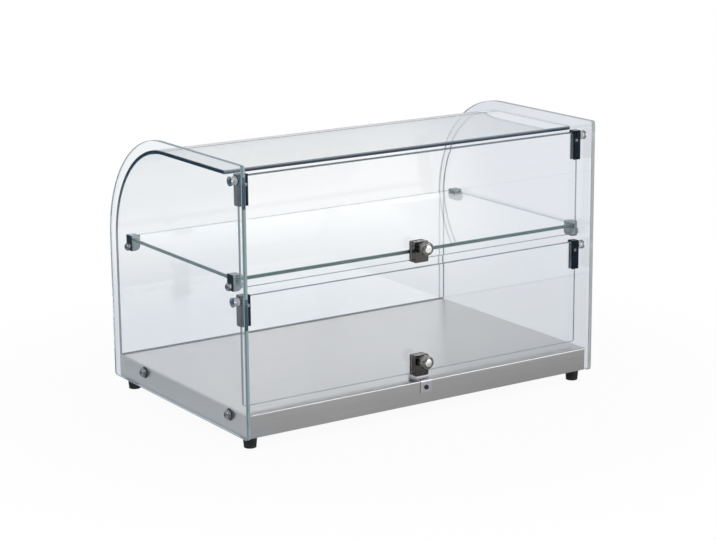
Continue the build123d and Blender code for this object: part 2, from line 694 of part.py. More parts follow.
def base_nodes():
    """The base tray on its feet."""
    nodes = {"base_tray": base_tray()}
    for name, (x, y) in foot_places().items():
        nodes["foot_" + name] = rubber_foot(x, y)
    fastenings = [foot_fastening(x, y) for x, y in foot_places().values()]
    nodes["foot_screws"] = grouped([screw for screw, _ in fastenings])
    nodes["foot_nuts"] = grouped([nut for _, nut in fastenings])
    nodes["lower_door_catch_plate"] = catch_plate()
    nodes["lower_door_stop"] = door_stop()
    nodes["lower_door_stop_screw"] = door_stop_screw()
    return nodes


def glass_nodes():
    """The fixed glass with its beads, and the bushes in the panels."""
    nodes = {}
    for name, side in SIDES.items():
        nodes[name + "_side_panel"] = side_panel(side)
        nodes[name + "_glass_seal"] = side_seal(side)
        for door, (pivot_z, _) in DOORS.items():
            nodes[door + "_" + name + "_pivot_bush"] = pivot_bush(side, pivot_z)
    nodes["front_glass_seal"] = front_seal()
    nodes["curved_glass"] = curved_glass()
    nodes["shelf_glass"] = shelf_glass()
    return nodes


def door_nodes(door):
    """The pieces that swing with one door."""
    pivot_z, bottom = DOORS[door]
    nodes = {door + "_door_glass": door_glass(pivot_z, bottom)}
    for name, side in SIDES.items():
        nodes[door + "_" + name + "_hinge_clamp"] = hinge_clamp(side, pivot_z)
        nodes[door + "_" + name + "_pivot_pin"] = pivot_pin(side, pivot_z)
    nodes[door + "_hinge_liners"] = grouped([hinge_liner(side, pivot_z) for side in SIDES.values()])
    nodes[door + "_hinge_set_screws"] = grouped([set_screw(side, pivot_z) for side in SIDES.values()])
    nodes[door + "_handle_clamp"] = handle_clamp(bottom)
    nodes[door + "_handle_liner"] = handle_liner(bottom)
    nodes[door + "_handle_knob"] = handle_knob(bottom)
    return nodes


def main():
    os.makedirs("parts", exist_ok=True)
    nodes = base_nodes() | glass_nodes() | clip_nodes() | panel_fastening_nodes()
    for door in DOORS:
        nodes |= door_nodes(door)
    for name, shape in nodes.items():
        export_step(shape, "parts/" + name + ".step")


main()
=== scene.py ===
"""Looks of a countertop glass display case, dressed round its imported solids.

+X runs along the width, -Y towards the operator's doors and +Z up. Lengths are in metres, but
the sections and places of turned parts, and the camera's place, are in millimetres.
"""

import logging
import math
from dataclasses import dataclass
from enum import Enum
from functools import cached_property
from typing import Any, Iterable, Sequence, Union

import bpy
from mathutils import Matrix, Vector

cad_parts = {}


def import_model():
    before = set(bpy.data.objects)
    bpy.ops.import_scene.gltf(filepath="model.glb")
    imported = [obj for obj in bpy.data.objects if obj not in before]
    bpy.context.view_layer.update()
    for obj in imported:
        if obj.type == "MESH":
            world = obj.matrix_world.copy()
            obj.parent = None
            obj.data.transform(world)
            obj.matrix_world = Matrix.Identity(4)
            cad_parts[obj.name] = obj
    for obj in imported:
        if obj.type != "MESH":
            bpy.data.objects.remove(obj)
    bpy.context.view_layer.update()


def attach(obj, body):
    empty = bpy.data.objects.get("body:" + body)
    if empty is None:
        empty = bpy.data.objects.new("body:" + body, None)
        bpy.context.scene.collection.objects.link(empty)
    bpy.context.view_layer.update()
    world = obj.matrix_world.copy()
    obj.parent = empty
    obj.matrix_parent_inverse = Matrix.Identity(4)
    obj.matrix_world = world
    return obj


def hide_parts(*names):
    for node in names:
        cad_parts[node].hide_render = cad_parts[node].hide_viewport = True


MM = 0.001
SIDES = ("left", "right")
LOG = logging.getLogger("display_case")

Pair = tuple[float, float]
Triple = tuple[float, float, float]
Colour = Triple
Value = Union["Wire", float, int, bool, str, Sequence[float], Any]

WHITE = (1.0, 1.0, 1.0)


class Axis(Enum):
    """The object axis that a flat sheet of glass is thin along, or that a bent pane's ends face."""

    X = "X"
    Y = "Y"
    Z = "Z"


class Measure(Enum):
    """What a number given to the turning tree stands for: its socket's type and its unit."""

    COUNT = ("NodeSocketInt", 1)
    LENGTH = ("NodeSocketFloat", MM)
    ANGLE = ("NodeSocketFloat", math.pi / 180.0)


class Wire:
    """One output socket of a node, with arithmetic that adds Math nodes."""

    def __init__(self, graph: "Graph", socket: bpy.types.NodeSocket) -> None:
        """Keeps the socket and the graph that it belongs to."""
        self.graph = graph
        self.socket = socket

    def __add__(self, other: Value) -> "Wire":
        """Sum of two values."""
        return self.graph.math("ADD", self, other)

    def __sub__(self, other: Value) -> "Wire":
        """Difference of two values."""
        return self.graph.math("SUBTRACT", self, other)

    def __rsub__(self, other: Value) -> "Wire":
        """Difference with this value on the right."""
        return self.graph.math("SUBTRACT", other, self)

    def __mul__(self, other: Value) -> "Wire":
        """Product of two values."""
        return self.graph.math("MULTIPLY", self, other)

    def __truediv__(self, other: Value) -> "Wire":
        """Quotient of two values."""
        return self.graph.math("DIVIDE", self, other)

    def __rtruediv__(self, other: Value) -> "Wire":
        """Quotient with this value below the line."""
        return self.graph.math("DIVIDE", other, self)

    __radd__ = __add__
    __rmul__ = __mul__


class Placed:
    """A node in its graph, whose outputs are read as wires."""

    def __init__(self, graph: "Graph", node: bpy.types.Node) -> None:
        """Keeps the node and its graph."""
        self.graph = graph
        self.node = node

    def __getitem__(self, key: Union[str, int]) -> Wire:
        """The output with that identifier, name or number."""
        return Wire(self.graph, Graph.find(self.node.outputs, key))


class Graph:
    """A shader or geometry node tree, built by expressions."""

    def __init__(self, tree: bpy.types.NodeTree) -> None:
        """Wraps a tree and takes out the nodes that it came with."""
        self.tree = tree
        tree.nodes.clear()

    @cached_property
    def path(self) -> Placed:
        """What kind of ray meets the surface."""
        return self.node("ShaderNodeLightPath")

    @staticmethod
    def find(sockets: Any, key: Union[str, int]) -> bpy.types.NodeSocket:
        """The socket with that identifier, name or number."""
        known = {socket.identifier: socket for socket in sockets}
        return known[key] if key in known else sockets[key]

    def node(self, kind: str, settings: dict[str, Any] | None = None,
             inputs: dict[Union[str, int], Value] | None = None) -> Placed:
        """Adds one node.

        Args:
            kind: The node's type name.
            settings: Its own settings, set first.
            inputs: Values or wires for its input sockets.

        Returns:
            The node, whose outputs are read by name.
        """
        node = self.tree.nodes.new(kind)
        for key, value in (settings or {}).items():
            setattr(node, key, value)
        for key, value in (inputs or {}).items():
            socket = self.find(node.inputs, key)
            if isinstance(value, Wire):
                self.tree.links.new(value.socket, socket)
            elif socket.type == "RGBA":
                socket.default_value = (*value, 1.0)
            else:
                socket.default_value = value
        return Placed(self, node)

    def math(self, operation: str, *values: Value) -> Wire:
        """The result of a Math node with one, two or three inputs."""
        return self.node("ShaderNodeMath", {"operation": operation}, dict(enumerate(values)))[0]

    def parts(self, vector: Wire) -> Placed:
        """A vector's X, Y and Z."""
        return self.node("ShaderNodeSeparateXYZ", None, {0: vector})

    def point(self, x: Value = 0.0, y: Value = 0.0, z: Value = 0.0) -> Wire:
        """A vector from its three parts."""
        return self.node("ShaderNodeCombineXYZ", None, {0: x, 1: y, 2: z})[0]

    def along(self, parts: Placed, direction: Pair) -> Wire:
        """How far a level place lies in a level direction."""
        return parts["X"] * direction[0] + parts["Y"] * direction[1]

    def between(self, value: Value, low: float, high: float) -> Wire:
        """Turns a value into a smooth mask.

        Args:
            value: What is measured.
            low: Where the mask is 0; it may be the larger number.
            high: Where the mask is 1.

        Returns:
            The mask, from 0 to 1.
        """
        settings = {"interpolation_type": "SMOOTHSTEP"}
        inputs = {"Value": value, "From Min": low, "From Max": high}
        return self.node("ShaderNodeMapRange", settings, inputs)["Result"]

    def mix(self, factor: Value, first: Value, second: Value) -> Wire:
        """A mix of two colours, of which a factor of 0 gives the first and 1 the second."""
        inputs = {"Factor_Float": factor, "A_Color": first, "B_Color": second}
        return self.node("ShaderNodeMix", {"data_type": "RGBA"}, inputs)["Result_Color"]

    def dimmed(self, colour: Wire | Colour, share: float) -> Wire | Colour:
        """Multiplies all the parts of a colour by one number.

        Args:
            colour: The colour.
            share: The number.

        Returns:
            The new colour, worked out here unless it comes from a node.
        """
        if not isinstance(colour, Wire):
            return tuple(part * share for part in colour)
        inputs = {0: colour, 1: (share, share, share)}
        return self.node("ShaderNodeVectorMath", {"operation": "MULTIPLY"}, inputs)["Vector"]


class Coat(Graph):
    """A material's graph, with the object's own coordinates and normals at hand."""

    @cached_property
    def source(self) -> Placed:
        """Where a point of the surface is, in metres, and where it faces."""
        return self.node("ShaderNodeTexCoord")

    @cached_property
    def at(self) -> Placed:
        """The place's three parts."""
        return self.parts(self.source["Object"])

    @cached_property
    def facing(self) -> Placed:
        """The normal's three parts."""
        return self.parts(self.source["Normal"])

    def noise(self, scale: float, detail: float = 2.0, roughness: float = 0.5,
              stretch: Triple | None = None) -> Wire:
        """Adds a noise pattern.

        Args:
            scale: Cells to a metre.
            detail: Octaves.
            roughness: How strong the finer octaves are.
            stretch: What each coordinate is multiplied by first, for a grain.

        Returns:
            Values round one half.
        """
        place = self.source["Object"]
        if stretch:
            inputs = {"Vector": place, "Scale": stretch}
            place = self.node("ShaderNodeMapping", None, inputs)["Vector"]
        inputs = {"Vector": place, "Scale": scale, "Detail": detail, "Roughness": roughness}
        return self.node("ShaderNodeTexNoise", None, inputs)["Fac"]

    def bump(self, height: Wire, distance: float, strength: float) -> Wire:
        """The normal bent by a relief from 0 to 1, with its depth in metres."""
        inputs = {"Height": height, "Distance": distance, "Strength": strength}
        return self.node("ShaderNodeBump", None, inputs)["Normal"]

    def principled(self, inputs: dict[Union[str, int], Value]) -> Wire:
        """A Principled shader."""
        return self.node("ShaderNodeBsdfPrincipled", None, inputs)["BSDF"]

    def blended(self, share: Value, first: Wire, second: Wire) -> Wire:
        """Two shaders, of which the share says how much the second one counts."""
        return self.node("ShaderNodeMixShader", None, {0: share, 1: first, 2: second})[0]


@dataclass(frozen=True)
class Finish:
    """A material made from nodes; each kind of finish fills in its own surface."""

    name: str

    def material(self) -> bpy.types.Material:
        """Makes the finish's material the first time that it is asked for.

        Returns:
            The material.
        """
        made = bpy.data.materials.get(self.name)
        if made is None:
            made = bpy.data.materials.new(self.name)
            made.use_nodes = True
            coat = Coat(made.node_tree)
            coat.node("ShaderNodeOutputMaterial", None, self.surface(coat))
        return made

    def surface(self, coat: Coat) -> dict[str, Wire]:
        """Builds the nodes and says what goes to each socket of the material's output."""
        raise NotImplementedError

    def dress(self, *nodes: str) -> None:
        """Gives the finish to carried-over solids.

        Args:
            nodes: The solids' names.
        """
        for name in nodes:
            shown = bpy.data.objects[name]
            shown.data.materials.clear()
            shown.data.materials.append(self.material())
            LOG.info("%s: %s", name, self.name)


@dataclass(frozen=True)
class SheetGlass(Finish):
    """Clear float glass with ground edges."""

    axis: Axis
    edge_tone: Colour
    arris_tone: Colour
    ground: float
    index: float = 1.5
    face_tint: Colour = (0.999, 1.0, 1.0)
    smudge_tint: Colour = (0.992, 0.994, 0.996)
    edge_tint: Colour = (0.45, 0.72, 0.76)
    lamp_tint: Colour = (0.93, 0.94, 0.95)
    depth_tint: Colour = (0.55, 0.72, 0.80)
    density: float = 4.0

    def across(self, coat: Coat) -> Wire:
        """How squarely the surface faces along the finish's axis, from 0 to 1."""
        return coat.math("ABSOLUTE", coat.facing[self.axis.value])

    @staticmethod
    def arrises(coat: Coat, across: Wire) -> Wire:
        """The mask of the small ground slopes between faces and edges."""
        return coat.between(across, 0.3, 0.55) * coat.between(across, 0.97, 0.85)

    def edges(self, coat: Coat) -> tuple[Wire, Wire]:
        """The mask of the sheet's edges and the mask of their arrises."""
        across = self.across(coat)
        return coat.between(across, 0.55, 0.3), self.arrises(coat, across)

    def edge_colour(self, coat: Coat) -> Wire | Colour:
        """The ground edge's colour, the same all round."""
        return self.edge_tone

    def surface(self, coat: Coat) -> dict[str, Wire]:
        """Glass that is clear through its faces, ground at its edges and lets lamps through.

        Args:
            coat: The material's nodes.

        Returns:
            The sheet's surface and the tint of its depth.
        """
        edge, arris = self.edges(coat)
        smudge = coat.between(coat.noise(9.0, 3.0, 0.6), 0.52, 0.8)
        grinding = coat.noise(700.0, 3.0, 0.6)
        chatter = coat.noise(60.0)
        face = coat.mix(smudge, self.face_tint, self.smudge_tint)
        glass = coat.principled({
            "Base Color": coat.mix(edge, face, self.edge_tint),
            "Roughness": smudge * 0.012 + arris * 0.2,
            "IOR": self.index,
            "Transmission Weight": 1.0,
            "Normal": coat.bump(coat.noise(5.0, 1.0), 0.00012, 0.6),
        })
        tone = coat.mix(arris, self.edge_colour(coat), self.arris_tone)
        rim = coat.principled({
            "Base Color": coat.mix(chatter * 0.4, tone, coat.dimmed(tone, 0.7)),
            "Roughness": 0.28 + grinding * 0.25,
            "Normal": coat.bump(grinding, 0.00003, 0.5),
        })
        uneven = self.ground + (grinding - 0.5) * 0.2
        sheet = coat.blended(coat.math("MAXIMUM", edge, arris) * uneven, glass, rim)
        lamp = coat.math("MAXIMUM", coat.path["Is Shadow Ray"], coat.path["Is Diffuse Ray"])
        passing = coat.node("ShaderNodeBsdfTransparent", None, {"Color": self.lamp_tint})[0]
        depth = coat.node("ShaderNodeVolumeAbsorption", None, {
            "Color": self.depth_tint, "Density": self.density})[0]
        return {"Surface": coat.blended(lamp, sheet, passing), "Volume": depth}


@dataclass(frozen=True)
class SideGlass(SheetGlass):
    """A side panel's glass, whose edge is teal, with painted shade at the left panel only: a darker
    tone and a dark outer line.
    """

    # painted shade: the left panel's edge is darker than the right's, with a dark line along its
    # outer face
    left_painted_shade_tone: Colour = (0.40, 0.53, 0.57)
    outer_painted_shade_tone: Colour = (0.15, 0.27, 0.31)
    outer_shade_line: Pair = (-0.2735, -0.2755)
    # painted reflection of the dark hinge clamps in the left panel's edge
    painted_clamp_reflection_tone: Colour = (0.025, 0.090, 0.140)
    hinge_heights: Pair = (0.1785, 0.3315)
    hinge_half: Pair = (0.021, 0.019)
    rear_line: Pair = (-0.170, -0.178)

    def edge_colour(self, coat: Coat) -> Wire | Colour:
        """The left edge carries a painted reflection of the two hinge clamps that stand close
        behind it.

        Args:
            coat: The material's nodes.

        Returns:
            The colour, with painted shade at the left panel and paler at the right panel.
        """
        # painted shade on the left panel's edge, strongest in a line along its outer face
        line = coat.between(coat.at["X"], *self.outer_shade_line)
        left = coat.mix(line, self.left_painted_shade_tone, self.outer_painted_shade_tone)
        # painted reflection: the left edge goes dark where the two hinge clamps stand behind it
        for height in self.hinge_heights:
            off = coat.math("ABSOLUTE", coat.at["Z"] - height)
            near = coat.between(off, *self.hinge_half) * coat.between(coat.at["Y"], *self.rear_line)
            left = coat.mix(near, left, self.painted_clamp_reflection_tone)
        return coat.mix(coat.between(coat.at["X"], -0.1, 0.1), left, self.edge_tone)


@dataclass(frozen=True)
class BentGlass(SheetGlass):
    """The bent pane's glass, whose edges are its two ends, its rear line and its foot."""

    rear: float = -0.133
    foot: float = 0.049
    top: float = 0.353
    bend: Pair = (0.20, 0.33)
    far_end: Pair = (0.2695, 0.2698)
    # painted light and shade: the edge is navy along the top and rear, lighter low at the front and
    # at the far end
    painted_low_light_tone: Colour = (0.26, 0.33, 0.38)
    painted_far_light_tone: Colour = (0.62, 0.67, 0.70)

    def rear_edge(self, coat: Coat) -> Wire:
        """The mask of the pane's rear edge."""
        return coat.between(coat.at["Y"], self.rear + 0.0006, self.rear + 0.0005)

    def edges(self, coat: Coat) -> tuple[Wire, Wire]:
        """The pane's edges have their own lines, because its faces turn with the bend.

        Args:
            coat: The material's nodes.

        Returns:
            The mask of the edges, made fainter at the far end as painted lightening, and the mask
            of their arrises.
        """
        across, rear = self.across(coat), self.rear_edge(coat)
        foot = coat.between(coat.at["Z"], self.foot + 0.0002, self.foot + 0.0001)
        # painted lightening: the rim fades towards the far end
        fading = 1.0 - coat.between(coat.at["X"], 0.1, 0.2) * 0.7
        ends = coat.between(across, 0.45, 0.7) * fading
        edge = coat.math("MAXIMUM", coat.math("MAXIMUM", rear, foot), ends)
        return edge, self.arrises(coat, across) * (1.0 - rear)

    def edge_colour(self, coat: Coat) -> Wire | Colour:
        """The ends and the rear edge carry painted shade, darkest where they are seen over the top.

        Args:
            coat: The material's nodes.

        Returns:
            Painted navy shade along the top and the rear, painted lighter down the front and at the
            far end.
        """
        height = coat.at["Z"]
        tone = coat.mix(coat.between(height, *self.bend), self.painted_low_light_tone, self.edge_tone)
        tone = coat.mix(coat.between(coat.at["X"], *self.far_end), tone, self.painted_far_light_tone)
        # painted light: a paler band along the top of the rear edge, over a dark lower part
        light = coat.between(height, self.top - 0.0025, self.top - 0.0008)
        return coat.mix(self.rear_edge(coat), tone, coat.mix(light, self.edge_tone, self.painted_low_light_tone))


@dataclass(frozen=True)
class DoorGlass(SheetGlass):
    """A door's glass; the upper door's top carries a band of painted shade under the bent pane."""

    # painted shade: a dark band across the top of the upper door, under the bent pane
    painted_shade_above: float = 0.3477
    painted_shade_tone: Colour = (0.03, 0.05, 0.075)

    def painted_shade_band(self, coat: Coat) -> Wire:
        """The mask of the painted shade band at the upper door's top."""
        return coat.between(coat.at["Z"], self.painted_shade_above, self.painted_shade_above + 0.0004)

    def edges(self, coat: Coat) -> tuple[Wire, Wire]:
        """The mask of the sheet's edges, with the painted shade band at the top, and the mask of
        the arrises.
        """
        (edge, arris), top = super().edges(coat), self.painted_shade_band(coat)
        return coat.math("MAXIMUM", edge, top * 0.8), arris * (1.0 - top)

    def edge_colour(self, coat: Coat) -> Wire | Colour:
        """The edge's tone, with painted shade at the very top of the upper door."""
        return coat.mix(self.painted_shade_band(coat), self.edge_tone, self.painted_shade_tone)


@dataclass(frozen=True)
class BrushedSteel(Finish):
    """Stainless sheet with a fine brushed grain along its length."""

    colour: Colour = (0.50, 0.50, 0.505)
    shade: float = 0.30
    grain_depth: float = 0.00003
    grain_along: Triple = (5.0, 900.0, 900.0)
    grain_down: Triple = (900.0, 900.0, 5.0)
    rub_stretch: Triple = (3.0, 14.0, 14.0)

    def surface(self, coat: Coat) -> dict[str, Wire]:
        """Long fine grain lines, folded down with the sheet at its two ends.

        Args:
            coat: The material's nodes.

        Returns:
            The steel.
        """
        end = coat.between(coat.math("ABSOLUTE", coat.facing["X"]), 0.5, 0.8)
        along = coat.noise(1.0, 4.0, 0.6, stretch=self.grain_along)
        down = coat.noise(1.0, 4.0, 0.6, stretch=self.grain_down)
        grain = along * (1.0 - end) + down * end
        cloud = coat.noise(6.0, 3.0, 0.55)
        rub = coat.between(coat.noise(3.0, 4.0, 0.7, stretch=self.rub_stretch), 0.55, 0.75)
        tone = coat.mix(grain, coat.dimmed(self.colour, 0.90), coat.dimmed(self.colour, 1.10))
        uneven = (grain - 0.5) * 0.12 + rub * 0.05 + (cloud - 0.5) * 0.06
        return {"Surface": coat.principled({
            "Base Color": coat.mix(cloud * 0.25, tone, self.colour),
            "Metallic": 1.0,
            "Roughness": self.shade + uneven,
            "Normal": coat.bump(grain, self.grain_depth, 0.35),
        })}


@dataclass(frozen=True)
class PlatedMetal(Finish):
    """Polished or satin plated metal with faint machining marks and handling haze."""

    colour: Colour
    shade: float
    haze: float
    mark_depth: float = 0.00001
    mark_stretch: Triple = (500.0, 500.0, 3500.0)

    def plating(self, coat: Coat) -> Wire | Colour:
        """The plating's colour, the same all over."""
        return self.colour

    def surface(self, coat: Coat) -> dict[str, Wire]:
        """Plating with haze, fine marks and a slightly uneven tone.

        Args:
            coat: The material's nodes.

        Returns:
            The metal.
        """
        haze = coat.noise(160.0, 4.0, 0.6)
        pits = coat.between(coat.noise(1400.0), 0.62, 0.75)
        marks = coat.noise(1.0, 3.0, 0.6, stretch=self.mark_stretch)
        plain = self.plating(coat)
        tone = coat.mix(haze, coat.dimmed(plain, 0.86), plain)
        return {"Surface": coat.principled({
            "Base Color": coat.mix(pits * 0.3, tone, coat.dimmed(plain, 0.6)),
            "Metallic": 1.0,
            "Roughness": self.shade + haze * self.haze + marks * 0.05 + pits * 0.1,
            "Normal": coat.bump(marks, self.mark_depth, 0.4),
        })}


@dataclass(frozen=True)
class KnobChrome(PlatedMetal):
    """A turned knob's plating, dark on the body, with a painted highlight on the polished end face.
    """

    mark_stretch: Triple = (300.0, 4000.0, 300.0)
    end: float = -0.18085
    # painted highlight: the bright colour of the knob's end face
    bright: Colour = (0.88, 0.88, 0.89)

    def plating(self, coat: Coat) -> Wire | Colour:
        """A painted highlight at the knob's end, dark behind it."""
        # painted highlight on the end face
        face = coat.between(coat.at["Y"], self.end, self.end - 0.0001)
        return coat.mix(face, self.colour, self.bright)


@dataclass(frozen=True)
class MouldedRubber(Finish):
    """Black moulded rubber with a fine grain and a dusty bloom."""

    colour: Colour = (0.011, 0.011, 0.012)
    dust_tone: Colour = (0.12, 0.115, 0.11)
    dust_height: float = 0.006

    def surface(self, coat: Coat) -> dict[str, Wire]:
        """Matt black with pale dust towards the foot.

        Args:
            coat: The material's nodes.

        Returns:
            The rubber.
        """
        bloom = coat.noise(220.0, 4.0, 0.6)
        dust = coat.between(coat.at["Z"], self.dust_height, 0.0) * bloom
        tone = coat.mix(bloom, self.colour, coat.dimmed(self.colour, 1.9))
        return {"Surface": coat.principled({
            "Base Color": coat.mix(dust * 0.5, tone, self.dust_tone),
            "Roughness": 0.55 + bloom * 0.25 + dust * 0.15,
            "Normal": coat.bump(coat.noise(2600.0), 0.00006, 0.5),
        })}


@dataclass(frozen=True)
class MouldedPlastic(Finish):
    """Moulded nylon or clear soft plastic."""

    colour: Colour
    shade: float
    through: float = 0.0
    index: float = 1.45
    flow_stretch: Triple = (90.0, 140.0, 60.0)

    def body(self, coat: Coat) -> Wire | Colour:
        """The plastic's colour, the same all over."""
        return self.colour

    def surface(self, coat: Coat) -> dict[str, Wire]:
        """Smooth moulding with slight flow marks.

        Args:
            coat: The material's nodes.

        Returns:
            The plastic.
        """
        flow = coat.noise(1.0, 3.0, 0.55, stretch=self.flow_stretch)
        plain = self.body(coat)
        return {"Surface": coat.principled({
            "Base Color": coat.mix(flow, coat.dimmed(plain, 0.88), plain),
            "Roughness": self.shade + flow * 0.12,
            "Transmission Weight": self.through,
            "IOR": self.index,
            "Normal": coat.bump(coat.noise(1800.0), 0.00002, 0.4),
        })}


@dataclass(frozen=True)
class SiliconeBead(MouldedPlastic):
    """The clear bead between the bent pane and a panel, with painted navy shade where it is seen
    over the top.
    """

    bend: Pair = (0.20, 0.33)
    # painted light: paler low at the front and at the far panel; the navy colour is painted shade
    # along the top
    painted_low_light_colour: Colour = (0.80, 0.84, 0.86)
    painted_far_light_colour: Colour = (0.88, 0.91, 0.93)

    def body(self, coat: Coat) -> Wire | Colour:
        """Painted navy shade along the top, painted lighter down the front and at the far panel."""
        tone = coat.mix(coat.between(coat.at["Z"], *self.bend), self.painted_low_light_colour, self.colour)
        return coat.mix(coat.between(coat.at["X"], 0.0, 0.1), tone, self.painted_far_light_colour)


@dataclass(frozen=True)
class PaleFloor(Finish):
    """A pale studio floor that turns to plain white away from the object.

    Glass and metal show it in greys of their own, by where the ray meets it: behind the object or
    to its right, before the operator's side or beside the left panel.
    """

    colour: Colour = (0.80, 0.80, 0.80)
    glow: float = 0.94
    rightwards: Pair = (0.84, -0.55)
    behind_near: Colour = (0.72, 0.75, 0.785)
    right_near: Colour = (0.69, 0.715, 0.755)
    right_far: Colour = (0.76, 0.785, 0.83)
    before_left: Colour = (0.53, 0.53, 0.53)
    before_right: Colour = (0.40, 0.395, 0.385)
    before_far: Colour = (0.95, 0.95, 0.95)
    under: Colour = (0.80, 0.80, 0.81)
    beside_rear: Colour = (0.50, 0.53, 0.56)
    beside_front: Colour = (0.29, 0.34, 0.41)
    beside_far: Colour = (0.09, 0.24, 0.38)

    def through_glass(self, coat: Coat, away: Wire) -> Wire:
        """Works out what glass shows of the floor.

        Args:
            coat: The material's nodes.
            away: How far from the object's middle the ray meets it.

        Returns:
            The colour.
        """
        near = coat.between(away, 1.1, 0.45)
        right = coat.between(coat.along(coat.at, self.rightwards), 0.08, 0.32)
        plain = coat.mix(near, WHITE, self.behind_near)
        return coat.mix(right, plain, coat.mix(near, self.right_far, self.right_near))

    def in_metal(self, coat: Coat) -> Wire:
        """Works out what a reflection shows of the floor.

        Args:
            coat: The material's nodes.

        Returns:
            The colour.
        """
        x, y = coat.at["X"], coat.at["Y"]
        before = coat.mix(coat.between(x, -0.3, 0.4), self.before_left, self.before_right)
        shown = coat.mix(coat.between(y, -0.25, 0.1), before, self.under)
        shown = coat.mix(coat.between(y, -0.30, -0.42), shown, self.before_far)
        beside = coat.mix(coat.between(y, -0.1, 0.35), self.beside_rear, self.beside_front)
        beside = coat.mix(coat.between(x, -0.5, -0.9), beside, self.beside_far)
        return coat.mix(coat.between(x, -0.15, -0.35), shown, beside)

    def surface(self, coat: Coat) -> dict[str, Wire]:
        """White to the camera with the object's shadow near it, greyer in glass and metal.

        Args:
            coat: The material's nodes.

        Returns:
            The floor.
        """
        x, y = coat.at["X"], coat.at["Y"]
        away = coat.math("SQRT", x * x + y * y)
        speck = coat.noise(300.0)
        ground = coat.principled({
            "Base Color": coat.mix(speck, self.colour, coat.dimmed(self.colour, 0.99)),
            "Roughness": 0.7,
            "Specular IOR Level": 0.1,
            "Normal": coat.bump(speck, 0.0001, 0.2),
        })
        refracted, glossy = coat.path["Is Transmission Ray"], coat.path["Is Glossy Ray"]
        shown = coat.mix(refracted, WHITE, self.through_glass(coat, away))
        shown = coat.mix(glossy * (1.0 - refracted), shown, self.in_metal(coat))
        plain = coat.node("ShaderNodeEmission", None, {"Color": shown, "Strength": 1.0})[0]
        fading = self.glow + coat.between(away, 0.35, 0.75) * (1.0 - self.glow)
        bent = coat.math("MAXIMUM", glossy, refracted)
        share = coat.math("MAXIMUM", coat.path["Is Camera Ray"] * fading, bent)
        return {"Surface": coat.blended(share, ground, plain)}


@dataclass(frozen=True)
class TurnedProfile:
    """A turned part: its outline as (along, radius) pairs in millimetres, from end to end."""

    outline: tuple[Pair, ...]
    segments: int = 48
    flutes: int = 0
    flute_depth: float = 0.0
    flute_start: float = 0.0
    flute_end: float = 0.0
    socket_radius: float = 0.0
    socket_depth: float = 0.0
    socket_top: float = 0.0


@dataclass(frozen=True)
class Placing:
    """Where one, two or four turned parts stand, in millimetres and degrees."""

    half_width: float
    rear: float
    front: float
    height: float
    tilt_x: float = 0.0
    tilt_y: float = 0.0
    count: int = 4
    seed: int = 1


